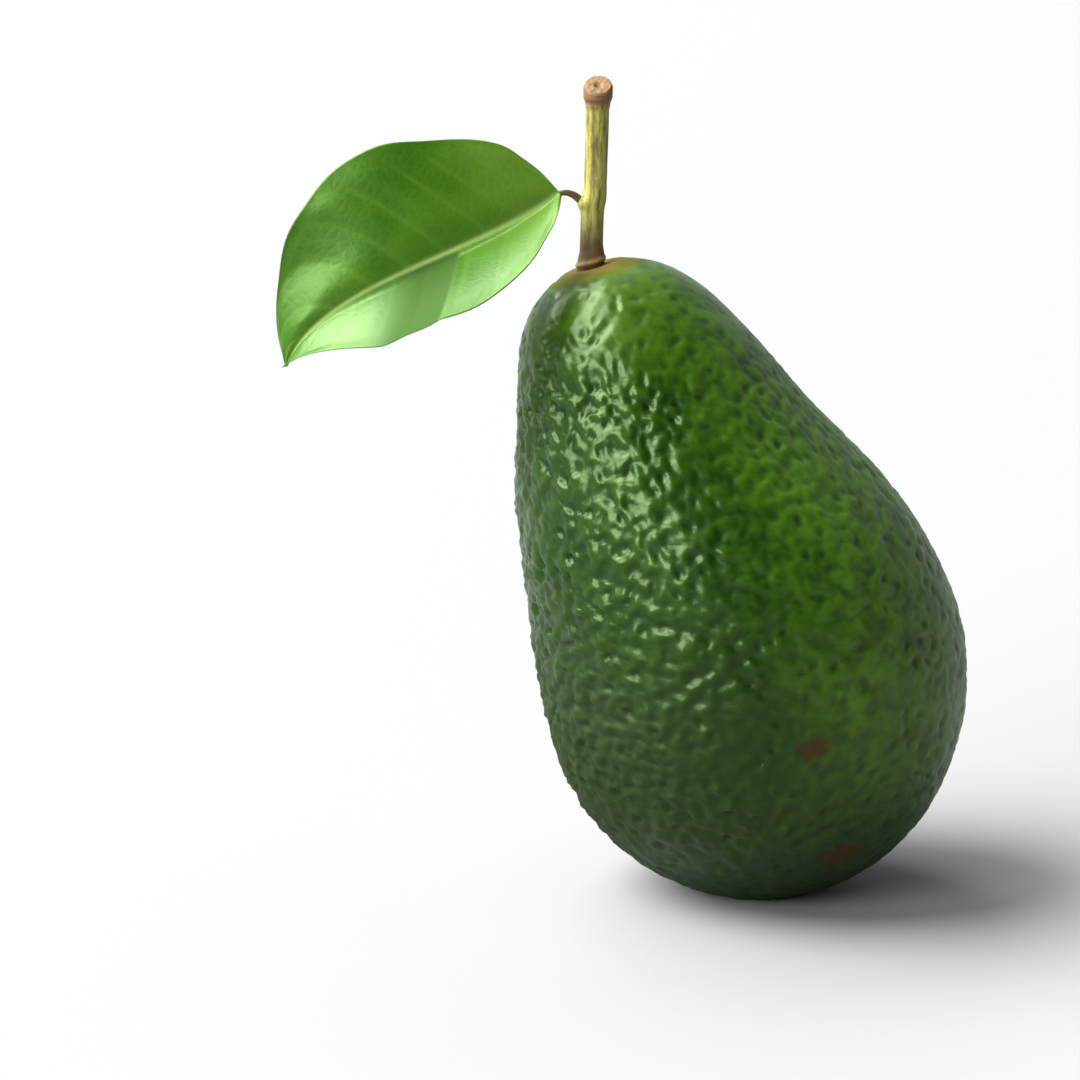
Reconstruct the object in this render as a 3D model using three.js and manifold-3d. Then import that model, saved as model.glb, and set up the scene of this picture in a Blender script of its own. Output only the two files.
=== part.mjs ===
// A whole avocado on its woody stalk with one leaf, standing on a small flat spot.
// Millimetres, +Z up. The origin is the centre of the spot that it rests on.
// The neck leans towards -X, where the stalk rises and the leaf hangs; -Y is the front.
import * as THREE from "three";
import { mergeVertices } from "three/addons/utils/BufferGeometryUtils.js";
import Module from "manifold-3d";

const wasm = await Module();
wasm.setup();

// Fruit: an upright egg whose radius is thinned towards a neck that leans to one side
const fruitHeight = 103.5; // resting spot to crown
const bellyRadius = 35.25;
const depthShare = 0.97; // front to back against side to side
const restFlat = 1.3; // how much of the round base is flattened where it rests
const baseFullness = 1.23; // how blunt the base is; 1 is an ellipsoid
const neckTaper = 0.67; // how fast the radius falls off with height
const crownFullness = 0.31; // how much of that fall the crown wins back
const waistDepth = 0.09; // the slight waist under the crown
const waistAt = 0.8; // its height, as a share of the fruit's length
const waistSpan = 0.14;
const neckLean = -21.8; // sideways lean of the crown
const leanPower = 2.7; // how late on the way up the lean sets in

// Stalk: a slim woody rod with a foot on the crown, a leaf node and a swollen cut top
const stemLength = 29.3; // above the skin
const stemRadius = 1.85;
const stemFootRadius = 2.4;
const stemNodeHeight = 9.8; // where the leaf leaves it
const stemTopRadius = 2.25;
const stemCutDrop = 2.4; // how much lower the front of the slanting cut is than its back
const stemRoot = 3; // how far the uncut rod reaches under the skin
const stemLean = THREE.MathUtils.degToRad(1.5); // towards +X
const stemOffset = -5.2; // from the crown's middle, along X

// Leaf: an oval blade on a thin leaf stalk, folded along its midrib
const leafThickness = 0.5;
const leafHalfWidth = 20;
const upperOutline = [ // share of the midrib's length, share of the half width
  [0, 0.02], [0.03, 0.38], [0.1, 0.63], [0.3, 0.87], [0.5, 0.99], [0.7, 0.8], [1, 0.02],
];
const lowerOutline = [
  [0, 0.02], [0.1, 0.37], [0.3, 0.8], [0.45, 0.88], [0.6, 0.73], [0.8, 0.37], [1, 0.02],
];
const leafStalkRadius = 0.75;
const leafStalkReach = 5.4; // sideways from the stalk's axis to the blade
const leafStalkRise = 1.3;
const upperWing = THREE.MathUtils.degToRad(-12); // how far each half leaves the midrib's plane
const upperTipWing = THREE.MathUtils.degToRad(-30); // beyond the side vein where the upper half turns back
const upperTurnFrom = 0.44; // that vein's start, as a share of the midrib's length
const upperTurnTo = 0.72;
const veinSlant = 0.24; // how far a side vein has run towards the tip when it reaches the margin
const lowerWing = THREE.MathUtils.degToRad(68);
const upperSoftness = 0.35; // share of each half that bends, next to the midrib
const lowerSoftness = 0.15;
const tipFlattening = 0.35; // how much of the lower half's fold is gone at the tip
const midribHandles = [ // from the blade's base, out to the side, then down to the tip
  [0, 0, 0],
  [-12.7, -3.6, -9.1],
  [-38.2, -7.2, -13.5],
  [-43.4, -2, -27.3],
];

const growthGap = 0.3; // clear space between pieces that are grown together
const fruitSides = 44;
const fruitRings = 28;
const stemSides = 18;
const stemRings = 20;
const leafSteps = 30;
const leafRows = 16; // across both halves of the blade
const leafStalkSteps = 10;
const leafStalkSegments = 5; // per half turn

const eggLength = fruitHeight + restFlat;
const smoothStep = THREE.MathUtils.smoothstep;

// Radius of the fruit at a share of its length, 0 at the round base and 1 at the crown
function fruitRadius(share) {
  const egg = 2 * Math.sqrt(share * (1 - share));
  const waist = waistDepth * Math.exp(-(((share - waistAt) / waistSpan) ** 2));
  return bellyRadius * egg * (baseFullness - neckTaper * share + crownFullness * share ** 2 - waist);
}

function fruitLean(share) {
  return neckLean * smoothStep(share, 0, 1) ** leanPower;
}

// The fruit as a turned body, leaned at the neck and grown outwards by a margin
function fruitGeometry(margin) {
  const first = restFlat / eggLength;
  const profile = [new THREE.Vector2(0, -margin)];
  for (let ring = 0; ring <= fruitRings; ring += 1) {
    const turn = (Math.PI * ring) / fruitRings;
    const share = first + ((1 - first) * (1 - Math.cos(turn))) / 2;
    const radius = ring === fruitRings ? 0 : fruitRadius(share) + margin;
    const lift = -margin * Math.cos(turn);
    profile.push(new THREE.Vector2(radius, share * eggLength - restFlat + lift));
  }
  const turned = new THREE.LatheGeometry(profile, fruitSides);
  turned.rotateX(Math.PI / 2);
  const place = turned.attributes.position;
  for (let i = 0; i < place.count; i += 1) {
    const share = THREE.MathUtils.clamp((place.getZ(i) + restFlat) / eggLength, 0, 1);
    place.setX(i, place.getX(i) + fruitLean(share));
    place.setY(i, place.getY(i) * depthShare);
  }
  return turned;
}

// Height of the skin above the resting surface at an offset from the crown's middle
function crownHeight(offset) {
  let low = waistAt;
  let high = 1;
  while (high - low > 1e-6) {
    const middle = (low + high) / 2;
    if (fruitRadius(middle) > Math.abs(offset)) {
      low = middle;
    } else {
      high = middle;
    }
  }
  return low * eggLength - restFlat;
}

const stemFoot = new THREE.Vector3(neckLean + stemOffset, 0, crownHeight(stemOffset));
const stemAxis = new THREE.Vector3(Math.sin(stemLean), 0, Math.cos(stemLean));

function alongStem(height) {
  return stemFoot.clone().addScaledVector(stemAxis, height);
}

// The stalk as a turned rod, grown outwards by a margin
function stemGeometry(margin) {
  const outline = new THREE.SplineCurve([
    new THREE.Vector2(stemFootRadius * 0.9, -stemRoot),
    new THREE.Vector2(stemFootRadius, 0),
    new THREE.Vector2(stemFootRadius * 0.96, stemFootRadius * 0.33),
    new THREE.Vector2(stemRadius * 1.14, stemFootRadius * 0.9),
    new THREE.Vector2(stemRadius, stemNodeHeight * 0.6),
    new THREE.Vector2(stemRadius * 1.08, stemNodeHeight),
    new THREE.Vector2(stemRadius * 0.97, stemNodeHeight * 1.4),
    new THREE.Vector2(stemRadius * 0.95, stemLength * 0.8),
    new THREE.Vector2(stemTopRadius, stemLength * 0.92),
    new THREE.Vector2(stemTopRadius * 0.95, stemLength),
  ]);
  const side = outline.getPoints(stemRings).map((p) => new THREE.Vector2(p.x + margin, p.y));
  const bottom = new THREE.Vector2(0, -stemRoot);
  const top = new THREE.Vector2(0, stemLength);
  const rod = new THREE.LatheGeometry([bottom, ...side, top], stemSides);
  rod.rotateX(Math.PI / 2);
  const place = rod.attributes.position;
  for (let i = 0; i < place.count; i += 1) {
    const height = place.getZ(i);
    const towardsCut = smoothStep(height, stemLength * 0.86, stemLength);
    const fromBack = (place.getY(i) / stemTopRadius - 1) / 2;
    place.setZ(i, height + stemCutDrop * towardsCut * fromBack);
  }
  rod.rotateY(stemLean);
  rod.translate(stemFoot.x, stemFoot.y, stemFoot.z);
  return rod;
}

const bladeBase = alongStem(stemNodeHeight + leafStalkRise).add(new THREE.Vector3(-leafStalkReach, -1, 0));
const midrib = new THREE.CubicBezierCurve3(
  ...midribHandles.map((step) => bladeBase.clone().add(new THREE.Vector3(...step))),
);

// Half width of the blade along the midrib, on a smooth curve through an outline's points
function outlineAt(outline, share) {
  const shares = outline.map((step) => step[0]);
  const widths = outline.map((step) => step[1]);
  const [width] = new THREE.CubicInterpolant(shares, widths, 1).evaluate(share);
  return leafHalfWidth * width;
}

// Fold of the upper half: it turns back beyond one of its side veins
function upperFold(share, reach) {
  const vein = share - veinSlant * reach;
  return THREE.MathUtils.lerp(upperWing, upperTipWing, smoothStep(vein, upperTurnFrom, upperTurnTo));
}

function lowerFold(share) {
  return lowerWing * (1 - tipFlattening * share);
}

// A point of the blade: share along the midrib, across from -1 (lower margin) to 1 (upper margin).
// Each half bends in an arc next to the midrib, then runs straight to its margin.
function bladePoint(share, across, lift) {
  const middle = midrib.getPointAt(share);
  const along = midrib.getTangentAt(share);
  const front = new THREE.Vector3(0, -1, 0);
  const up = along.clone().cross(front).normalize();
  const face = up.clone().cross(along).normalize();
  const reach = Math.abs(across);
  const isLower = across < 0;
  const side = isLower ? -1 : 1;
  const fold = isLower ? lowerFold(share) : upperFold(share, reach);
  const softness = isLower ? lowerSoftness : upperSoftness;
  const halfWidth = outlineAt(isLower ? lowerOutline : upperOutline, share);
  const bent = Math.min(reach, softness);
  const turn = (fold * bent) / softness;
  const spread = (Math.sin(turn) * softness) / fold + Math.cos(fold) * (reach - bent);
  const rise = ((1 - Math.cos(turn)) * softness) / fold + Math.sin(fold) * (reach - bent);
  return middle
    .addScaledVector(up, side * (halfWidth * spread - lift * Math.sin(turn)))
    .addScaledVector(face, halfWidth * rise + lift * Math.cos(turn));
}

// The blade as a thin slab, bent into the leaf's shape
function bladeGeometry() {
  const slab = new THREE.BoxGeometry(1, 2, leafThickness, leafSteps, leafRows, 1);
  const place = slab.attributes.position;
  for (let i = 0; i < place.count; i += 1) {
    const point = bladePoint(0.5 - place.getX(i), place.getY(i), place.getZ(i));
    place.setXYZ(i, point.x, point.y, point.z);
  }
  return slab;
}

// The leaf stalk: a thin rod from inside the stem to a little way up the midrib
function leafStalkGeometry() {
  const route = new THREE.CatmullRomCurve3([
    alongStem(stemNodeHeight - leafStalkRadius),
    alongStem(stemNodeHeight + leafStalkRise).add(new THREE.Vector3(-leafStalkReach / 2, 0, 0)),
    bladeBase,
    midrib.getPointAt(0.06),
  ]);
  const section = new THREE.Shape().absarc(0, 0, leafStalkRadius, 0, 2 * Math.PI);
  return new THREE.ExtrudeGeometry(section, {
    steps: leafStalkSteps,
    curveSegments: leafStalkSegments,
    extrudePath: route,
  });
}

// Geometry to solid and back, for cuts and joins
function solid(geometry) {
  const bare = new THREE.BufferGeometry();
  bare.setAttribute("position", geometry.attributes.position);
  bare.setIndex(geometry.index);
  const merged = mergeVertices(bare, 1e-3);
  const vertProperties = new Float32Array(merged.attributes.position.array);
  const triVerts = new Uint32Array(merged.index.array);
  return new wasm.Manifold(new wasm.Mesh({ numProp: 3, vertProperties, triVerts }));
}

function geometryOf(made) {
  const mesh = made.getMesh();
  const geometry = new THREE.BufferGeometry();
  geometry.setAttribute("position", new THREE.BufferAttribute(mesh.vertProperties, 3));
  geometry.setIndex(new THREE.BufferAttribute(mesh.triVerts, 1));
  geometry.computeVertexNormals();
  return geometry;
}

function piece(name, geometry, color, roughness) {
  const material = new THREE.MeshStandardMaterial({ color, roughness, metalness: 0 });
  const mesh = new THREE.Mesh(geometry, material);
  mesh.name = name;
  return mesh;
}

const stemSolid = solid(stemGeometry(0)).subtract(solid(fruitGeometry(growthGap)));
const leafSolid = solid(bladeGeometry())
  .add(solid(leafStalkGeometry()))
  .subtract(solid(stemGeometry(growthGap)));

const avocado = new THREE.Group();
avocado.add(piece("fruit", fruitGeometry(0), 0x2c5a14, 0.35));
avocado.add(piece("stem", geometryOf(stemSolid), 0x7d6f2c, 0.7));
avocado.add(piece("leaf", geometryOf(leafSolid), 0x3c7a1c, 0.45));

export default avocado;
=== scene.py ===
import math
import bpy
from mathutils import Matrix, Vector


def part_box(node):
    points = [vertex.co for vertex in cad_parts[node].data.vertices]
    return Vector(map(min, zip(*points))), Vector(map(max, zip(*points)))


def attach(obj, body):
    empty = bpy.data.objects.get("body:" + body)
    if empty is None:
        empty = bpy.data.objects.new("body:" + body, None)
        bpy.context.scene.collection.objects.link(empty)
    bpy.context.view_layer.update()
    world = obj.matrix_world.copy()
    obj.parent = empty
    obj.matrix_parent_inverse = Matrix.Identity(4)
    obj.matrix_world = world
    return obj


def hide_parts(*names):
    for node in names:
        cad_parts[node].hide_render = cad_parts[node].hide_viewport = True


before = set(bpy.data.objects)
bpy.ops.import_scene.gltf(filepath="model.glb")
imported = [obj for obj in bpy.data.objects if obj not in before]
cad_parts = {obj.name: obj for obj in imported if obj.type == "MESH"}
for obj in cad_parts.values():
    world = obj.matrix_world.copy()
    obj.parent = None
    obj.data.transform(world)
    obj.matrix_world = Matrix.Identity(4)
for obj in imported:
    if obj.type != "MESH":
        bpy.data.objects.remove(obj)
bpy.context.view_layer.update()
scene = bpy.context.scene
perMetre = 1000.0  # the trees below work in millimetres

fruitLow, fruitHigh = [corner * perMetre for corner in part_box("fruit")]
stemLow, stemHigh = [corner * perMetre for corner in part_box("stem")]
print("frame loaded: fruit", round(fruitHigh.z - fruitLow.z, 1), "mm high")


# Node sockets that can be written in formulas, in geometry and material trees alike
class Field:
    def __init__(self, tree, socket):
        self.tree = tree
        self.socket = socket

    def __add__(self, other):
        return formula("ADD", self, other)

    def __radd__(self, other):
        return formula("ADD", other, self)

    def __sub__(self, other):
        return formula("SUBTRACT", self, other)

    def __rsub__(self, other):
        return formula("SUBTRACT", other, self)

    def __mul__(self, other):
        return formula("MULTIPLY", self, other)

    def __rmul__(self, other):
        return formula("MULTIPLY", other, self)

    def __truediv__(self, other):
        return formula("DIVIDE", self, other)

    def __rtruediv__(self, other):
        return formula("DIVIDE", other, self)

    def __pow__(self, other):
        return formula("POWER", self, other)

    def __neg__(self):
        return formula("MULTIPLY", self, -1.0)


def isVector(term):
    if isinstance(term, Field):
        return term.socket.type in ("VECTOR", "RGBA")
    return isinstance(term, (tuple, Vector))


def plug(tree, socket, value):
    if isinstance(value, Field):
        tree.links.new(value.socket, socket)
    else:
        socket.default_value = value


def addNode(tree, kind, inputs=None, **settings):
    node = tree.nodes.new(kind)
    for name, value in settings.items():
        setattr(node, name, value)
    for key, value in (inputs or {}).items():
        plug(tree, node.inputs[key], value)
    return node


def formula(operation, *terms):
    tree = next(term.tree for term in terms if isinstance(term, Field))
    vectors = [isVector(term) for term in terms]
    if not any(vectors):
        node = addNode(tree, "ShaderNodeMath", operation=operation)
    elif operation == "MULTIPLY" and not all(vectors):
        scaled, scale = terms if vectors[0] else reversed(terms)
        node = addNode(tree, "ShaderNodeVectorMath", {"Scale": scale}, operation="SCALE")
        terms = [scaled]
    else:
        node = addNode(tree, "ShaderNodeVectorMath", operation=operation)
    for socket, term in zip(node.inputs, terms):
        plug(tree, socket, term)
    measured = operation in ("LENGTH", "DISTANCE")
    return Field(tree, node.outputs["Value" if measured else 0])


def split(vector):
    node = addNode(vector.tree, "ShaderNodeSeparateXYZ", {0: vector})
    return [Field(vector.tree, output) for output in node.outputs]


def merge(x, y, z):
    tree = next(part.tree for part in (x, y, z) if isinstance(part, Field))
    node = addNode(tree, "ShaderNodeCombineXYZ", {0: x, 1: y, 2: z})
    return Field(tree, node.outputs[0])


def band(value, low, high, atLow=0.0, atHigh=1.0):  # eases from atLow to atHigh between two values
    ends = {"From Min": low, "From Max": high, "To Min": atLow, "To Max": atHigh}
    inputs = {"Value": value, **ends}
    node = addNode(value.tree, "ShaderNodeMapRange", inputs, interpolation_type="SMOOTHSTEP")
    return Field(value.tree, node.outputs[0])


def bell(value):  # 1 at zero, falling off on both sides within about 1
    if isinstance(value, Field):
        return formula("EXPONENT", -(value * value))
    return math.exp(-value * value)


def absolute(value):
    return formula("ABSOLUTE", value)


def mixed(share, first, second):
    return first + (second - first) * share


def noise(place, size, detail=2.0, roughness=0.5, output=0):
    inputs = {"Vector": place, "Scale": 1.0 / size, "Detail": detail, "Roughness": roughness}
    node = addNode(place.tree, "ShaderNodeTexNoise", inputs)
    return Field(place.tree, node.outputs[output])


def cells(place, size, feature):
    inputs = {"Vector": place, "Scale": 1.0 / size}
    node = addNode(place.tree, "ShaderNodeTexVoronoi", inputs, feature=feature)
    return Field(place.tree, node.outputs["Distance"])


def drawn(value, points):  # a smooth curve through a few points, from 0 to 1
    node = addNode(value.tree, "ShaderNodeFloatCurve", {"Value": value})
    curve = node.mapping.curves[0]
    curve.points[0].location = points[0]
    curve.points[-1].location = points[-1]
    for place in points[1:-1]:
        curve.points.new(*place)
    node.mapping.update()
    return Field(value.tree, node.outputs[0])


# Geometry trees: named inputs for the sizes, then stages that pass the geometry on
def newTree(name, sizes):
    tree = bpy.data.node_groups.new(name, "GeometryNodeTree")
    tree.interface.new_socket("Geometry", in_out="INPUT", socket_type="NodeSocketGeometry")
    tree.interface.new_socket("Geometry", in_out="OUTPUT", socket_type="NodeSocketGeometry")
    kinds = {int: "NodeSocketInt", float: "NodeSocketFloat", tuple: "NodeSocketVector"}
    for label, value in sizes.items():
        tree.interface.new_socket(label, in_out="INPUT", socket_type=kinds[type(value)])
    given = tree.nodes.new("NodeGroupInput")
    return tree, {label: Field(tree, given.outputs[label]) for label in ["Geometry", *sizes]}


def position(tree):
    return Field(tree, addNode(tree, "GeometryNodeInputPosition").outputs[0])


def normal(tree):
    return Field(tree, addNode(tree, "GeometryNodeInputNormal").outputs[0])


def named(tree, name):
    node = addNode(tree, "GeometryNodeInputNamedAttribute", {"Name": name}, data_type="FLOAT")
    return Field(tree, node.outputs[0])


def store(geometry, name, value):
    kind = "FLOAT_VECTOR" if isVector(value) else "FLOAT"
    inputs = {"Geometry": geometry, "Name": name, "Value": value}
    node = addNode(geometry.tree, "GeometryNodeStoreNamedAttribute", inputs, data_type=kind, domain="POINT")
    return Field(geometry.tree, node.outputs[0])


def moveTo(geometry, place):
    node = addNode(geometry.tree, "GeometryNodeSetPosition", {"Geometry": geometry, "Position": place})
    return Field(geometry.tree, node.outputs[0])


def moveBy(geometry, offset):
    node = addNode(geometry.tree, "GeometryNodeSetPosition", {"Geometry": geometry, "Offset": offset})
    return Field(geometry.tree, node.outputs[0])


def finishTree(geometry, material):  # to metres, smooth, realized, with its material
    tree = geometry.tree
    geometry = moveTo(geometry, position(tree) * (1.0 / perMetre))
    smooth = addNode(tree, "GeometryNodeSetShadeSmooth", {"Geometry": geometry})
    real = addNode(tree, "GeometryNodeRealizeInstances", {"Geometry": Field(tree, smooth.outputs[0])})
    inputs = {"Geometry": Field(tree, real.outputs[0]), "Material": material}
    coated = addNode(tree, "GeometryNodeSetMaterial", inputs)
    output = tree.nodes.new("NodeGroupOutput")
    tree.links.new(coated.outputs[0], output.inputs[0])


def grow(name, tree, sizes):  # runs a tree and keeps the result as a plain mesh
    piece = bpy.data.objects.new(name, bpy.data.meshes.new(name))
    scene.collection.objects.link(piece)
    modifier = piece.modifiers.new(name, "NODES")
    modifier.node_group = tree
    for item in tree.interface.items_tree:
        if item.in_out == "INPUT" and item.name in sizes:
            modifier[item.identifier] = sizes[item.name]
    graph = bpy.context.evaluated_depsgraph_get()
    made = bpy.data.meshes.new_from_object(
        piece.evaluated_get(graph), preserve_all_data_layers=True, depsgraph=graph
    )
    piece.modifiers.remove(modifier)
    piece.data = made
    made.name = name
    print(name, "grown:", len(made.vertices), "points,", len(made.polygons), "faces")
    return piece


# Materials: a shader with its fixed numbers on its own sockets, and formulas for the rest
def newMaterial(name, **fixed):
    material = bpy.data.materials.new(name)
    material.use_nodes = True
    tree = material.node_tree
    shader = tree.nodes["Principled BSDF"]
    for socket, value in fixed.items():
        shader.inputs[socket.replace("_", " ")].default_value = value
    coordinates = addNode(tree, "ShaderNodeTexCoord")
    place = Field(tree, coordinates.outputs["Object"]) * perMetre
    return material, tree, shader, place


def painted(tree, name, output="Fac"):
    node = addNode(tree, "ShaderNodeAttribute", attribute_name=name)
    return Field(tree, node.outputs[output])


def tinted(share, first, second):  # blends colours, given as sockets or as linear red, green, blue
    tree = share.tree
    node = addNode(tree, "ShaderNodeMix", data_type="RGBA", clamp_factor=True)
    plug(tree, node.inputs[0], share)
    for socket, colour in ((node.inputs[6], first), (node.inputs[7], second)):
        plug(tree, socket, colour if isinstance(colour, Field) else (*colour, 1.0))
    return Field(tree, node.outputs[2])


def raised(height, depth, strength):  # a bump from a height of 0 to 1, with its depth in millimetres
    inputs = {"Strength": strength, "Distance": depth / perMetre, "Height": height}
    node = addNode(height.tree, "ShaderNodeBump", inputs)
    return Field(height.tree, node.outputs[0])


# Fruit: a ball drawn out to a pear, then lumps, pebbles, the stem's dimple and two scars
fruitLook = {
    "depthShare": 0.97,  # front to back against side to side
    "restFlat": 1.3,  # mm of the round base flattened where it rests
    "baseFullness": 1.23,
    "neckTaper": 0.67,
    "crownFullness": 0.31,
    "waistDepth": 0.09,
    "waistAt": 0.8,
    "waistSpan": 0.14,
    "neckLean": -21.8,  # mm, sideways at the crown
    "leanPower": 2.7,
    "stemOffset": -5.2,  # mm, from the crown's middle to the stem
    "restBlend": 0.4,  # mm over which the flat's edge is rounded
    "restSink": 0.06,  # mm that this blend lifts the flat, taken off again
    "lumpHeight": 0.9,  # heights and sizes of the relief are in mm
    "lumpSize": 19.0,
    "pebbleHeight": 1.0,
    "pebbleSize": 3.6,
    "pebbleWarp": 2.6,
    "warpSize": 6.5,
    "patchSize": 16.0,  # of the areas with more or less relief
    "rippleShare": 0.62,  # size of the ripples and of the pits, as shares of a pebble's
    "pitShare": 0.8,
    "rippleHeight": 1.5,  # height of the ripples and depth of the pits, as shares of a pebble's height
    "pitDepth": 0.42,
    "finePitDepth": 0.16,
    "finePitSize": 2.3,
    "wrinkleHeight": 0.2,
    "wrinkleSize": 1.5,
    "dimpleDepth": 0.5,
    "dimpleRim": 0.12,
    "scarDepth": 0.25,
    "scars": [  # turn from the front in degrees, share of the height, size in mm
        (11.8, 0.313, 4.0),
        (27.0, 0.123, 5.0),
    ],
    "aroundPoints": 104,
    "upPoints": 148,
    "seed": 4.0,
}


def eggShare(share):  # radius along the length, as a share of the belly's
    look = fruitLook
    waist = bell((share - look["waistAt"]) / look["waistSpan"]) * look["waistDepth"]
    return look["baseFullness"] - share * look["neckTaper"] + share * share * look["crownFullness"] - waist


def neckShift(share):  # sideways lean of the axis
    eased = share * share * (3.0 - share * 2.0)
    return eased ** fruitLook["leanPower"] * fruitLook["neckLean"]


eggLength = fruitHigh.z - fruitLow.z + fruitLook["restFlat"]
stations = [step / 200 for step in range(1, 200)]
widest = max(2 * math.sqrt(share * (1 - share)) * eggShare(share) for share in stations)
bellyRadius = (fruitHigh.y - fruitLow.y) / 2 / fruitLook["depthShare"] / widest


def fruitPoint(share, turn):  # a point of the smooth fruit; turn is from the front towards +X
    girth = bellyRadius * 2 * math.sqrt(share * (1 - share)) * eggShare(share)
    angle = math.radians(turn)
    across = girth * math.sin(angle) + neckShift(share)
    deep = -girth * math.cos(angle) * fruitLook["depthShare"]
    return Vector((across, deep, eggLength * share - fruitLook["restFlat"]))


dimpleAt = Vector((fruitLook["neckLean"] + fruitLook["stemOffset"], 0.0, stemLow.z + 0.6))


def fruitTree(material, sizes):
    look = fruitLook
    tree, given = newTree("avocadoFruit", sizes)
    points = {"Vertices X": given["Around points"], "Vertices Y": given["Around points"]}
    points["Vertices Z"] = given["Up points"]
    cube = addNode(tree, "GeometryNodeMeshCube", {"Size": (2, 2, 2), **points})
    # even the cube's grid out, then blow it up to a ball
    evened = [formula("TANGENT", part * (math.pi / 4)) for part in split(position(tree))]
    across, deep, up = split(formula("NORMALIZE", merge(*evened)))
    share = (up + 1.0) * 0.5
    girth = given["Belly radius"] * eggShare(share)
    pear = merge(
        across * girth + neckShift(share),
        deep * girth * look["depthShare"],
        share * given["Length"] - look["restFlat"],
    )
    geometry = store(Field(tree, cube.outputs[0]), "share", share)
    geometry = store(geometry, "rightward", across)
    geometry = moveTo(geometry, pear)
    # relief, read off the smooth pear
    place = position(tree) + merge(given["Seed"], given["Seed"], given["Seed"])
    upShare = named(tree, "share")
    lumps = (noise(place, given["Lump size"], 1.0) - 0.5) * given["Lump height"]
    swirl = (noise(place, look["warpSize"], 1.0, output=1) - (0.5, 0.5, 0.5)) * given["Pebble warp"]
    pits = band(cells(place + swirl, given["Pebble size"] * look["pitShare"], "F1"), 0.42, 0.06)
    flattened = (place + swirl * 0.5) * Vector((1.0, 1.0, 1.3))
    ripple = noise(flattened, given["Pebble size"] * look["rippleShare"], 1.0, 0.5)
    patchy = band(noise(place, look["patchSize"], 1.0), 0.3, 0.65, 0.55, 1.0)
    patchy = patchy * band(upShare, 0.02, 0.2, 0.5, 1.0)
    patchy = patchy * band(named(tree, "rightward"), -0.1, 0.55, 1.35, 0.6)  # smoother on the right side
    rippled = patchy * band(upShare, 0.93, 0.8, 0.15, 1.0)
    pitted = patchy * band(upShare, 0.99, 0.96) * band(upShare, 0.92, 0.8, 0.6, 1.0)
    fine = band(cells(place + swirl * 0.3, look["finePitSize"], "F1"), 0.4, 0.1)
    fine = fine * band(upShare, 0.74, 0.86)  # only near the crown
    pebble = ripple * 1.5 - pits * 0.45 - fine * 0.3 + 0.2  # the height that the skin's colours follow
    wrinkles = (noise(place, given["Wrinkle size"], 2.0, 0.6) - 0.5) * given["Wrinkle height"]
    fromStem = formula("DISTANCE", position(tree), tuple(dimpleAt))
    dimple = bell((fromStem - 4.6) / 1.8) * look["dimpleRim"]
    dimple = dimple - band(fromStem, 5.0, 2.2) * look["dimpleDepth"]
    ragged = (noise(place, 2.0, 3.0, 0.6) - 0.5) * 1.4
    scar = None
    for turn, height, size in look["scars"]:
        offset = (position(tree) - tuple(fruitPoint(height, turn))) * Vector((1.0, 1.0, 1.7))
        reach = formula("LENGTH", offset) * (1.0 / size)
        patch = band(reach + ragged, 1.0, 0.45)
        scar = patch if scar is None else formula("MAXIMUM", scar, patch)
    calm = 1.0 - scar * 0.6
    dents = (pits * look["pitDepth"] + fine * look["finePitDepth"]) * pitted
    pebbled = ((ripple - 0.45) * look["rippleHeight"] * rippled - dents) * given["Pebble height"]
    wrinkled = wrinkles * patchy * band(upShare, 0.92, 0.78, 0.4, 1.0)
    relief = (pebbled + wrinkled) * calm + lumps + dimple - scar * look["scarDepth"]
    geometry = store(geometry, "pebble", pebble)
    geometry = store(geometry, "scar", scar)
    geometry = store(geometry, "fromStem", fromStem)
    geometry = moveBy(geometry, normal(tree) * relief)
    x, y, z = split(position(tree))
    rested = formula("SMOOTH_MAX", z, 0.0, look["restBlend"]) - look["restSink"]
    geometry = moveTo(geometry, merge(x, y, rested))
    finishTree(geometry, material)
    return tree


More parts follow.
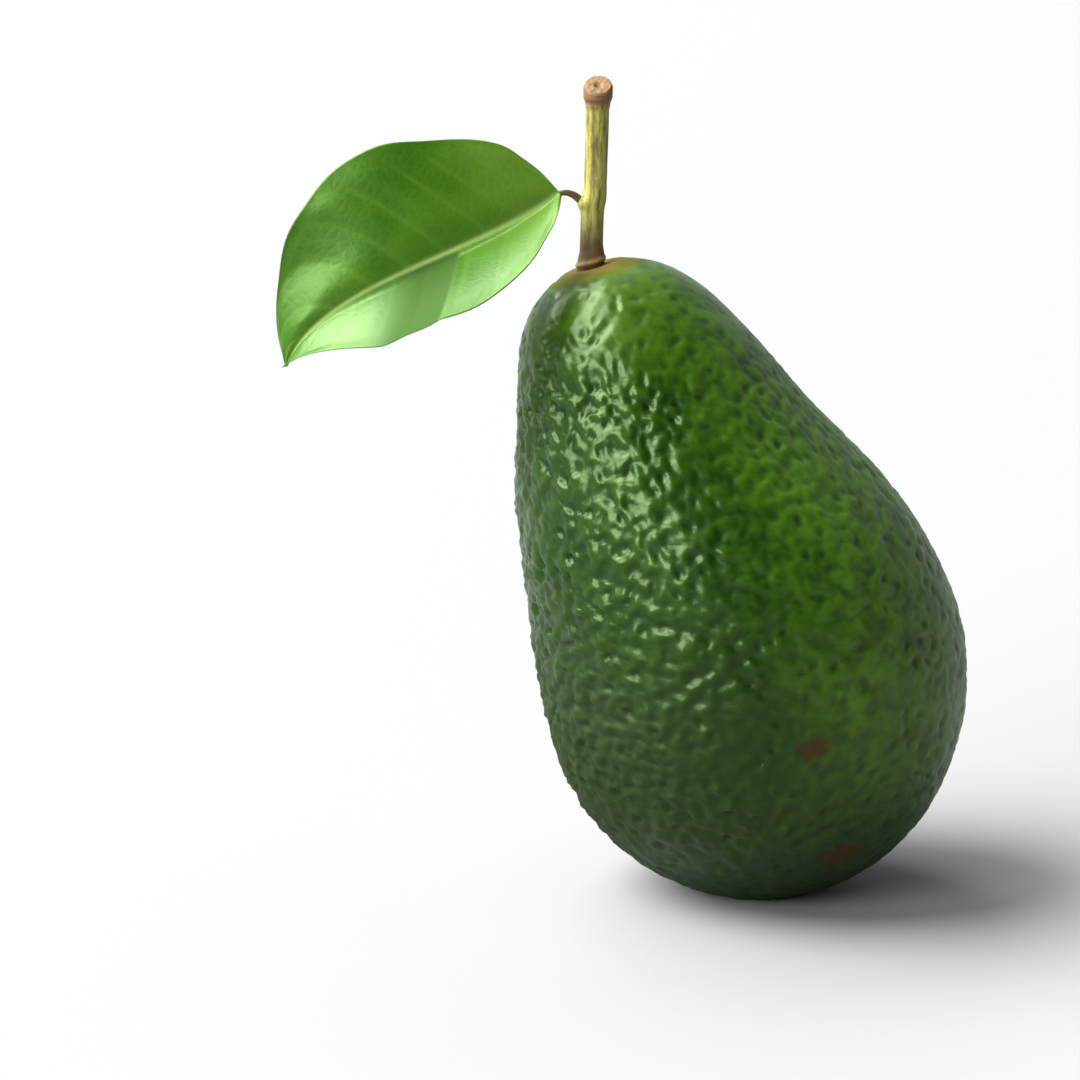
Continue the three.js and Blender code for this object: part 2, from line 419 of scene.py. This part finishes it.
def skinMaterial():
    look = {
        "paintedShadeGreen": (0.002, 0.008, 0.0003),
        "deepGreen": (0.003, 0.014, 0.0003),
        "midGreen": (0.0042, 0.023, 0.0003),
        "crownGreen": (0.034, 0.080, 0.0018),
        "paintedSheenGreen": (0.040, 0.102, 0.005),
        "haloOlive": (0.115, 0.070, 0.004),
        "scarBrown": (0.034, 0.010, 0.002),
        "cloudSize": 14.0,  # mm
        "mottleSize": 2.4,
        "blotchSize": 5.0,
        "poreSize": 0.55,
        "poreDepth": 0.02,
        "roughness": 0.25,
    }
    material, tree, shader, place = newMaterial(
        "avocadoSkin", Specular_IOR_Level=0.42, Specular_Tint=(0.72, 1.0, 0.48, 1.0), IOR=1.45
    )
    share = painted(tree, "share")
    pebble = painted(tree, "pebble")
    scar = painted(tree, "scar")
    clouds = noise(place, look["cloudSize"], 3.0, 0.55)
    mottle = noise(place, look["mottleSize"], 3.0, 0.6)
    blotch = noise(place, look["blotchSize"], 2.0)
    # darker below and lighter towards the crown; painted sheen on the right side, strongest on the pebble
    # tops
    upward = band(share + (clouds - 0.5) * 0.35, 0.1, 0.85)
    green = tinted(upward, look["deepGreen"], look["midGreen"])
    green = tinted(band(share + (clouds - 0.5) * 0.2, 0.78, 1.02), green, look["crownGreen"])
    rightward = painted(tree, "rightward") + (clouds - 0.5) * 0.5
    # painted sheen on the right side
    sheenMask = band(rightward, -0.05, 0.62) * band(share, 0.0, 0.45) * band(pebble, 0.55, 1.05, 0.6, 1.0)
    green = tinted(sheenMask, green, look["paintedSheenGreen"])
    # painted shade on the lower left side and at the base
    shade = band(rightward, -0.15, -0.6) * band(share, 0.5, 0.2)
    shade = formula("MAXIMUM", shade, band(share + (clouds - 0.5) * 0.1, 0.14, 0.02))
    green = tinted(shade, green, look["paintedShadeGreen"])
    # painted light on the pebble tops towards the crown, partly also their own lighter colour; painted
    # shade in the pits; darker blotches
    green = tinted(band(pebble, 0.75, 1.2) * upward * 0.3, green, look["crownGreen"])
    green = tinted(band(pebble, 0.95, 0.3) * 0.5, green, look["paintedShadeGreen"])
    green = tinted(band(mottle, 0.45, 0.75) * 0.4, green, look["deepGreen"])
    green = tinted(band(blotch, 0.45, 0.68) * 0.4, green, look["deepGreen"])
    # a ragged olive halo around the stem, and the scars
    fromStem = painted(tree, "fromStem") + (mottle - 0.5) * 4.0 + (blotch - 0.5) * 5.0
    halo = band(fromStem, 9.0, 3.5) * 0.9
    green = tinted(halo, green, look["haloOlive"])
    green = tinted(scar * 0.85, green, look["scarBrown"])
    plug(tree, shader.inputs["Base Color"], green)
    dull = band(fromStem, 10.0, 6.7) * 0.55 + shade * 0.5 + scar * 0.4 + band(rightward, 0.25, 0.8) * 0.15
    rough = mottle * 0.1 + look["roughness"] + dull + band(pebble, 0.9, 0.4) * 0.08
    plug(tree, shader.inputs["Roughness"], rough)
    pores = noise(place, look["poreSize"], 2.0, 0.6)
    plug(tree, shader.inputs["Normal"], raised(pores, look["poreDepth"], 0.8))
    return material


fruitSizes = {
    "Length": eggLength,
    "Belly radius": bellyRadius,
    "Lump height": fruitLook["lumpHeight"],
    "Lump size": fruitLook["lumpSize"],
    "Pebble height": fruitLook["pebbleHeight"],
    "Pebble size": fruitLook["pebbleSize"],
    "Pebble warp": fruitLook["pebbleWarp"],
    "Wrinkle height": fruitLook["wrinkleHeight"],
    "Wrinkle size": fruitLook["wrinkleSize"],
    "Around points": fruitLook["aroundPoints"],
    "Up points": fruitLook["upPoints"],
    "Seed": fruitLook["seed"],
}
fruit = grow("avocadoFruit", fruitTree(skinMaterial(), fruitSizes), fruitSizes)
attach(fruit, "root")
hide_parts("fruit")


# Stem: a woody rod with a collar on the crown, a swelling where the leaf leaves it and a cut knob on top
stemLook = {
    "length": 29.3,  # mm above the skin
    "root": 3.0,  # mm sunk into the fruit
    "lean": 1.5,  # degrees towards +X
    "kink": 0.35,  # mm that the upper part stands to the right of the lower
    "radius": 1.82,
    "footFlare": 0.34,
    "collarBead": 0.28,
    "collarSlope": 0.65,  # mm that the collar's right side is higher than its middle
    "nodeHeight": 9.8,
    "nodeSwell": 0.16,  # all round
    "nodeBulge": 0.55,  # on the leaf's side
    "knobSwell": 0.48,
    "knobBead": 0.1,  # a thin ring under the knob
    "rimRounding": 0.22,
    "cutRoughness": 0.4,
    "ridgeHeight": 0.2,
    "crackHeight": 0.1,
    "cutSlant": 2.4,  # mm that the front of the cut end is lower than its back
    "pithDepth": 0.45,
    "aroundPoints": 56,
    "upPoints": 150,
}
stemLean = math.radians(stemLook["lean"])
stemAxis = Vector((math.sin(stemLean), 0.0, math.cos(stemLean)))
stemFoot = Vector((fruitLook["neckLean"] + fruitLook["stemOffset"], 0.0, 0.0))
stemFoot.z = stemHigh.z - stemLook["length"] * stemAxis.z


def stemTree(material, sizes):
    look = stemLook
    tree, given = newTree("woodyStem", sizes)
    points = {"Vertices": given["Around points"], "Side Segments": given["Up points"], "Fill Segments": 10}
    rod = addNode(
        tree, "GeometryNodeMeshCylinder", {**points, "Radius": 1.0, "Depth": 1.0}, fill_type="TRIANGLE_FAN"
    )
    x, y, z = split(position(tree))
    height = (z + 0.5) * (given["Length"] + look["root"]) - look["root"]
    top = formula("GREATER_THAN", z, 0.4999)  # 1 on the cut end
    spread = formula("LENGTH", merge(x, y, 0.0))  # 0 on the axis, 1 on the bark
    ridges = noise(merge(x * 2.4, y * 2.4, height * 0.13), 1.0, 3.0, 0.6)
    cracks = noise(merge(x * 0.9, y * 0.9, height * 1.3), 1.0, 2.0, 0.6)
    woody = band(height, 5.0, 1.0, 0.35, 1.0) + band(height, given["Length"] - 6.0, given["Length"] - 2.0)
    seat = height - x * look["collarSlope"]  # height over the sloping crown
    # girth: foot and collar, the leaf's node, the knob and then the bark
    girth = given["Radius"] + band(seat, 2.8, 0.2) * look["footFlare"]
    girth = girth + bell((seat - 0.2) / 0.4) * look["collarBead"]
    girth = girth + bell((height - look["nodeHeight"]) / 1.5) * look["nodeSwell"]
    leafSide = band(-x, 0.25, 1.0) * look["nodeBulge"]
    girth = girth + bell(height - look["nodeHeight"] + 0.3) * leafSide
    fromTop = given["Length"] - height
    girth = girth + band(fromTop, 5.0, 2.6) * look["knobSwell"]
    girth = girth - band(fromTop, 0.45, 0.0) * look["rimRounding"]
    girth = girth + bell((fromTop - 4.6) / 0.35) * look["knobBead"]
    girth = girth + (ridges - 0.5) * look["ridgeHeight"] + (cracks - 0.5) * look["crackHeight"] * woody
    # the slanting cut end with its pith, and the axis
    cutFace = (noise(merge(x, y, 3.0), 0.3, 2.0) - 0.5) * top * look["cutRoughness"]
    slant = (y - 1.0) * band(fromTop, 4.4, 0.0) * (look["cutSlant"] / 2)
    pith = band(spread, 0.36, 0.16) * top
    rise = height + cutFace + slant - pith * look["pithDepth"]
    shift = band(height, 8.0, 12.0) * look["kink"] - look["kink"] * 0.5
    middle = merge(rise * stemAxis.x + shift, 0.0, rise * stemAxis.z)
    geometry = store(Field(tree, rod.outputs["Mesh"]), "height", height)
    geometry = store(geometry, "seat", seat)
    geometry = store(geometry, "ridges", ridges)
    geometry = store(geometry, "cut", top * band(spread, 1.0, 0.93))
    geometry = store(geometry, "pith", pith)
    geometry = moveTo(geometry, middle + merge(x * girth, y * girth, 0.0) + tuple(stemFoot))
    finishTree(geometry, material)
    return tree


def barkMaterial():
    look = {
        "olive": (0.260, 0.245, 0.045),
        "deepOlive": (0.085, 0.070, 0.012),
        "footBrown": (0.080, 0.045, 0.016),
        "collarTan": (0.300, 0.190, 0.050),
        "knobBrown": (0.120, 0.060, 0.020),
        "cutTan": (0.165, 0.094, 0.028),
        "pithBrown": (0.110, 0.055, 0.022),
        "fibreSize": 0.35,  # mm
        "fibreDepth": 0.12,
        "blotchSize": 2.6,
        "roughness": 0.48,
    }
    material, tree, shader, place = newMaterial("stemBark", Specular_IOR_Level=0.3)
    height = painted(tree, "height")
    ridges = painted(tree, "ridges")
    fibre = noise(place * Vector((1.0, 1.0, 0.16)), look["fibreSize"], 3.0, 0.6)
    blotch = noise(place, look["blotchSize"], 3.0, 0.6)
    bark = tinted(band(ridges + (fibre - 0.5) * 0.5, 0.62, 0.36), look["olive"], look["deepOlive"])
    foot = band(height + (blotch - 0.5) * 4.0, 8.0, 1.8)
    bark = tinted(foot * 0.9, bark, look["footBrown"])
    bark = tinted(bell((painted(tree, "seat") - 0.25) / 0.4), bark, look["collarTan"])
    fromTop = stemLook["length"] - height
    bark = tinted(band(fromTop + (blotch - 0.5) * 3.0, 5.6, 3.4), bark, look["knobBrown"])
    bark = tinted(painted(tree, "cut"), bark, look["cutTan"])
    bark = tinted(painted(tree, "pith"), bark, look["pithBrown"])
    bark = tinted(band(blotch, 0.56, 0.72) * 0.5, bark, look["footBrown"])
    plug(tree, shader.inputs["Base Color"], bark)
    plug(tree, shader.inputs["Roughness"], fibre * 0.25 + look["roughness"])
    plug(tree, shader.inputs["Normal"], raised(fibre, look["fibreDepth"], 0.8))
    return material


stemSizes = {
    "Length": stemLook["length"],
    "Radius": stemLook["radius"],
    "Around points": stemLook["aroundPoints"],
    "Up points": stemLook["upPoints"],
}
stem = grow("woodyStem", stemTree(barkMaterial(), stemSizes), stemSizes)
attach(stem, "root")
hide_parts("stem")


# Leaf: a folded blade on its midrib, quilted between the side veins, with a thin leaf stalk
leafLook = {
    "baseFromNode": (-5.4, -1.0, 1.3),  # mm from the stem's axis at its node to the blade
    "firstHandle": (-12.7, -3.6, -9.1),  # the midrib's curve, mm from the blade's base
    "secondHandle": (-38.2, -7.2, -13.5),
    "tip": (-43.4, -2.0, -27.3),
    "length": 52.8,  # mm along the midrib
    "halfWidth": 20.0,
    "upperOutline": [  # share of the midrib's length, share of the half width
        (0.0, 0.02), (0.03, 0.38), (0.1, 0.63), (0.3, 0.87), (0.5, 0.99), (0.7, 0.8), (0.85, 0.44),
        (1.0, 0.01),
    ],
    "lowerOutline": [
        (0.0, 0.02), (0.1, 0.37), (0.3, 0.8), (0.45, 0.88), (0.6, 0.73), (0.8, 0.37), (1.0, 0.01),
    ],
    "upperFold": -12.0,  # degrees that each half leaves the plane of the midrib, towards the front
    "upperTipFold": -30.0,
    "lowerFold": 68.0,
    "upperSoftness": 0.35,  # share of each half that bends, next to the midrib
    "lowerSoftness": 0.15,
    "tipFlattening": 0.35,
    "thickness": 0.34,
    "marginThickness": 0.4,  # as a share of the thickness
    "waveHeight": 0.3,
    "waves": 2.5,
    "veinPairs": 8.0,
    "veinWidth": 0.45,  # mm
    "veinSlant": (0.2, 0.04),  # how far the side veins run towards the tip, straight and curved
    "quiltHeight": 0.18,
    "pleatHeight": 3.5,
    "pleatWidth": 0.2,  # share of the midrib over which the lower half drops behind its fold
    "lowerPleatAt": 0.34,  # share of the midrib where the deep fold in each half starts
    "upperPleatAt": 0.6,
    "ribRadius": (0.55, 0.16),  # at the blade's base and at its tip
    "ribSink": 0.35,  # mm that the rib's rod lies behind the blade's middle
    "stalkRadius": (0.75, 0.42),  # at the stem and at the blade
    "stalkStart": (-1.2, 0.0, -0.9),  # the leaf stalk's curve: two points from the stem's node
    "stalkFirstHandle": (-2.2, -0.1, 0.2),
    "stalkSecondHandle": (2.0, 0.4, 0.5),  # from the blade's base
    "alongPoints": 150,
    "acrossPoints": 130,
}
leafNode = stemFoot + stemAxis * stemLook["nodeHeight"]
bladeBase = leafNode + Vector(leafLook["baseFromNode"])


def bezier(tree, start, firstHandle, secondHandle, end):
    ends = {"Start": start, "Start Handle": firstHandle, "End Handle": secondHandle, "End": end}
    node = addNode(tree, "GeometryNodeCurvePrimitiveBezierSegment", {"Resolution": 64, **ends})
    return Field(tree, node.outputs[0])


def taperedRod(curve, startRadius, endRadius, steps):
    tree = curve.tree
    even = addNode(tree, "GeometryNodeResampleCurve", {"Curve": curve, "Count": steps})
    along = Field(tree, addNode(tree, "GeometryNodeSplineParameter").outputs["Factor"])
    ring = addNode(tree, "GeometryNodeCurvePrimitiveCircle", {"Resolution": 12, "Radius": 1.0})
    inputs = {"Curve": Field(tree, even.outputs[0]), "Profile Curve": Field(tree, ring.outputs[0])}
    inputs["Scale"] = mixed(along, startRadius, endRadius)
    rod = addNode(tree, "GeometryNodeCurveToMesh", {**inputs, "Fill Caps": True})
    return Field(tree, rod.outputs[0])


def leafTree(material, sizes):
    look = leafLook
    tree, given = newTree("avocadoLeaf", sizes)
    points = {"Vertices X": given["Along points"], "Vertices Y": given["Across points"], "Vertices Z": 2}
    slab = addNode(tree, "GeometryNodeMeshCube", {"Size": (1, 2, 1), **points})
    x, across, lift = split(position(tree))
    even = 0.5 - x
    share = mixed(0.6, even, 0.5 - formula("COSINE", even * math.pi) * 0.5)  # closer rows at both ends
    reach = absolute(across)
    lower = formula("LESS_THAN", across, 0.0)
    side = 1.0 - lower * 2.0
    straight, curved = look["veinSlant"]
    slant = (reach * straight + reach * reach * curved) * mixed(lower, 1.0, 0.6)
    start = share - slant  # where on the midrib this side vein starts
    rising = start * (1.0 / look["lowerPleatAt"])
    falling = (look["lowerPleatAt"] + look["pleatWidth"] - start) * (1.0 / look["pleatWidth"])
    peak = formula("MINIMUM", rising, falling)
    pleat = formula("SMOOTH_MAX", peak, (start - look["lowerPleatAt"]) * 0.5, 0.15)
    pleat = pleat * lower * reach * band(share, 0.0, 0.2)
    # a strip of the lower half just past its deep fold: rougher, and darker with painted shade
    dull = lower * band(start, look["lowerPleatAt"] - 0.005, look["lowerPleatAt"] + 0.015)
    dull = dull * band(start, look["lowerPleatAt"] + 0.3, look["lowerPleatAt"] + 0.12)
    outline = mixed(lower, drawn(share, look["upperOutline"]), drawn(share, look["lowerOutline"]))
    halfWidth = outline * given["Half width"]
    # the midrib carries a frame: along it, up the blade and out of its face
    midrib = bezier(tree, given["Base"], given["First handle"], given["Second handle"], given["Tip"])
    sample = addNode(tree, "GeometryNodeSampleCurve", {"Curves": midrib, "Factor": share}, mode="FACTOR")
    middle = Field(tree, sample.outputs["Position"])
    along = Field(tree, sample.outputs["Tangent"])
    up = formula("NORMALIZE", formula("CROSS_PRODUCT", along, (0.0, -1.0, 0.0)))
    face = formula("CROSS_PRODUCT", up, along)
    upperFold = band(start, look["upperPleatAt"] - 0.16, look["upperPleatAt"] + 0.12,
                     math.radians(look["upperFold"]), math.radians(look["upperTipFold"]))
    lowerFold = (1.0 - share * look["tipFlattening"]) * math.radians(look["lowerFold"])
    fold = mixed(lower, upperFold, lowerFold)
    softness = mixed(lower, look["upperSoftness"], look["lowerSoftness"])
    bent = formula("MINIMUM", reach, softness)  # each half bends in an arc, then runs straight
    turn = fold * bent / softness
    rise = (1.0 - formula("COSINE", turn)) * softness / fold + formula("SINE", fold) * (reach - bent)
    spread = formula("SINE", turn) * softness / fold + formula("COSINE", fold) * (reach - bent)
    facing = face * formula("COSINE", turn) - up * side * formula("SINE", turn)
    # side veins, quilting between them, one deep fold in each half and a wavy margin
    jitter = (noise(merge(start * 6.0, lower * 3.0, 0.0), 1.0, 1.0) - 0.5) * 0.5
    phase = start * given["Vein pairs"] + lower * 0.5 + jitter
    fromVein = absolute(formula("FRACT", phase + 0.5) - 0.5)
    vein = bell(fromVein / given["Vein pairs"] * (look["length"] / look["veinWidth"]))
    vein = vein * band(reach, 0.97, 0.7)
    inner = band(reach, 0.02, 0.25) * band(reach, 1.0, 0.8)
    quilt = (fromVein * 2.0) ** 0.7 * given["Quilt height"] * inner * mixed(lower, 1.0, 0.5)
    wave = formula("SINE", share * (2 * math.pi * look["waves"]) + side) * look["waveHeight"]
    thickness = band(reach, 1.0, 0.75, look["marginThickness"], 1.0) * look["thickness"]
    relief = quilt + pleat * given["Pleat height"] + wave * reach * reach + lift * thickness
    blade = middle + (up * side * spread + face * rise) * halfWidth + facing * relief
    geometry = store(Field(tree, slab.outputs[0]), "vein", vein)
    geometry = store(geometry, "back", formula("LESS_THAN", lift, 0.0))
    geometry = store(geometry, "dull", dull)
    geometry = store(geometry, "bladePlace", merge(share * look["length"], across * halfWidth, 0.0))
    geometry = store(geometry, "rib", bell(across * halfWidth / mixed(share, 0.5, 0.2)))
    geometry = moveTo(geometry, blade)
    rib = store(taperedRod(midrib, *look["ribRadius"], 60), "rib", 1.0)
    rib = moveBy(rib, (0.0, look["ribSink"], 0.0))
    stalkCurve = bezier(
        tree, given["Stalk start"], given["Stalk first handle"], given["Stalk second handle"], given["Base"]
    )
    stalk = store(taperedRod(stalkCurve, *look["stalkRadius"], 24), "stalk", 1.0)
    joined = addNode(tree, "GeometryNodeJoinGeometry")
    for part in (geometry, rib, stalk):
        tree.links.new(part.socket, joined.inputs[0])
    finishTree(Field(tree, joined.outputs[0]), material)
    return tree


def leafMaterial():
    look = {
        "shadeGreen": (0.009, 0.034, 0.0004),
        "deepGreen": (0.0175, 0.069, 0.0006),
        "freshGreen": (0.030, 0.094, 0.0012),
        "veinAndSheenGreen": (0.058, 0.128, 0.010),
        "ribGreen": (0.210, 0.320, 0.085),
        "backGreen": (0.130, 0.225, 0.060),
        "backVein": (0.240, 0.350, 0.120),
        "stalkBrown": (0.070, 0.048, 0.018),
        "cloudSize": 9.0,  # mm
        "netSize": 1.5,
        "netDepth": 0.02,
        "roughness": 0.3,
    }
    material, tree, shader, place = newMaterial(
        "leafBlade", Specular_IOR_Level=0.45, Specular_Tint=(0.65, 1.0, 0.4, 1.0)
    )
    onBlade = painted(tree, "bladePlace", "Vector")
    clouds = noise(place, look["cloudSize"], 3.0, 0.55)
    netting = cells(onBlade, look["netSize"], "DISTANCE_TO_EDGE")
    threads = band(netting, 0.09, 0.01)
    green = tinted(band(clouds, 0.3, 0.7), look["deepGreen"], look["freshGreen"])
    # painted sheen towards the blade's base, and the fine netting of veins, both in the vein colour
    baseSheen = band(split(onBlade)[0], 20.0, 2.0)
    green = tinted(threads * 0.14 + baseSheen * 0.85, green, look["veinAndSheenGreen"])
    green = tinted(painted(tree, "vein") * 0.4, green, look["veinAndSheenGreen"])
    # painted shade in the strip past the lower half's deep fold
    green = tinted(painted(tree, "dull") * 0.8, green, look["shadeGreen"])
    back = painted(tree, "back")
    green = tinted(back * 0.85, green, look["backGreen"])
    green = tinted(back * painted(tree, "vein") * 0.6, green, look["backVein"])
    green = tinted(painted(tree, "rib"), green, look["ribGreen"])
    green = tinted(painted(tree, "stalk"), green, look["stalkBrown"])
    plug(tree, shader.inputs["Base Color"], green)
    rough = clouds * 0.16 + look["roughness"] + back * 0.25 + painted(tree, "dull") * 0.4
    plug(tree, shader.inputs["Roughness"], rough)
    plug(tree, shader.inputs["Normal"], raised(band(netting, 0.0, 0.3), look["netDepth"], 0.6))
    return material


leafSizes = {
    "Base": tuple(bladeBase),
    "First handle": tuple(bladeBase + Vector(leafLook["firstHandle"])),
    "Second handle": tuple(bladeBase + Vector(leafLook["secondHandle"])),
    "Tip": tuple(bladeBase + Vector(leafLook["tip"])),
    "Stalk start": tuple(leafNode + Vector(leafLook["stalkStart"])),
    "Stalk first handle": tuple(leafNode + Vector(leafLook["stalkFirstHandle"])),
    "Stalk second handle": tuple(bladeBase + Vector(leafLook["stalkSecondHandle"])),
    "Half width": leafLook["halfWidth"],
    "Vein pairs": leafLook["veinPairs"],
    "Quilt height": leafLook["quiltHeight"],
    "Pleat height": leafLook["pleatHeight"],
    "Along points": leafLook["alongPoints"],
    "Across points": leafLook["acrossPoints"],
}
leaf = grow("avocadoLeaf", leafTree(leafMaterial(), leafSizes), leafSizes)
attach(leaf, "root")
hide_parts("leaf")


# Stage: pale floor, a wide soft light on the left, two smaller ones in front and behind, a grey room
stageLook = {
    "floorReach": 30.0,  # metres from the middle to each edge
    "floorColour": (0.242, 0.242, 0.240),
    "roomFront": (0.13, 0.14, 0.15),  # the room is dim behind the camera and bright behind the fruit
    "roomBack": (0.58, 0.62, 0.66),
    "roomHorizon": (0.93, 0.94, 0.94),
    "lights": [  # name, degrees from the front (minus is left), height, strength, softness in degrees
        ("keyWide", -90.0, 47.0, 11.9, 51.0),
        ("keyLow", -46.0, 20.0, 3.4, 27.0),
        ("keyBack", -152.0, 54.0, 1.9, 30.0),
    ],
    "cameraTarget": (-0.03526, 0.0, 0.05756),
    "cameraHeight": 12.0,
    "cameraDistance": 0.534,
    "cameraLens": 110.0,
    "clipStart": 0.01,
}


def makeFloor():
    material, tree, shader, place = newMaterial("paleFloor", Roughness=0.7, Specular_IOR_Level=0.2)
    grain = noise(place, 0.8, 2.0)
    pale = stageLook["floorColour"]
    plug(tree, shader.inputs["Base Color"], tinted(grain, tuple(c * 0.985 for c in pale), pale))
    reach = stageLook["floorReach"]
    corners = [(-reach, -reach, 0.0), (reach, -reach, 0.0), (reach, reach, 0.0), (-reach, reach, 0.0)]
    mesh = bpy.data.meshes.new("paleFloor")
    mesh.from_pydata(corners, [], [(0, 1, 2, 3)])
    mesh.materials.append(material)
    floor = bpy.data.objects.new("paleFloor", mesh)
    scene.collection.objects.link(floor)


def directionFrom(azimuth, height):
    a = math.radians(azimuth)
    h = math.radians(height)
    return Vector((math.sin(a) * math.cos(h), -math.cos(a) * math.cos(h), math.sin(h)))


def makeSun(name, towards, strength, softness):
    data = bpy.data.lights.new(name, "SUN")
    data.energy = strength
    data.angle = math.radians(softness)
    sun = bpy.data.objects.new(name, data)
    sun.location = towards
    sun.rotation_euler = (-towards).to_track_quat("-Z", "Y").to_euler()
    scene.collection.objects.link(sun)


def makeRoom():
    world = bpy.data.worlds.new("studioRoom")
    world.use_nodes = True
    tree = world.node_tree
    towards = Field(tree, addNode(tree, "ShaderNodeTexCoord").outputs["Generated"])
    backwards = band(split(towards)[1], -0.5, 0.7)
    room = tinted(backwards, stageLook["roomFront"], stageLook["roomBack"])
    room = tinted(band(split(towards)[2], 0.1, 0.03), room, stageLook["roomHorizon"])
    plug(tree, tree.nodes["Background"].inputs["Color"], room)
    scene.world = world


def makeCamera():
    data = bpy.data.cameras.new("camera")
    data.lens = stageLook["cameraLens"]
    camera = bpy.data.objects.new("camera", data)
    back = directionFrom(0.0, stageLook["cameraHeight"])
    camera.location = Vector(stageLook["cameraTarget"]) + back * stageLook["cameraDistance"]
    camera.rotation_euler = (-back).to_track_quat("-Z", "Y").to_euler()
    data.clip_start = stageLook["clipStart"]
    scene.collection.objects.link(camera)
    scene.camera = camera


makeFloor()
makeRoom()
makeCamera()
for name, azimuth, height, strength, softness in stageLook["lights"]:
    makeSun(name, directionFrom(azimuth, height), strength, softness)
scene.view_settings.view_transform = "Standard"
print("stage set")
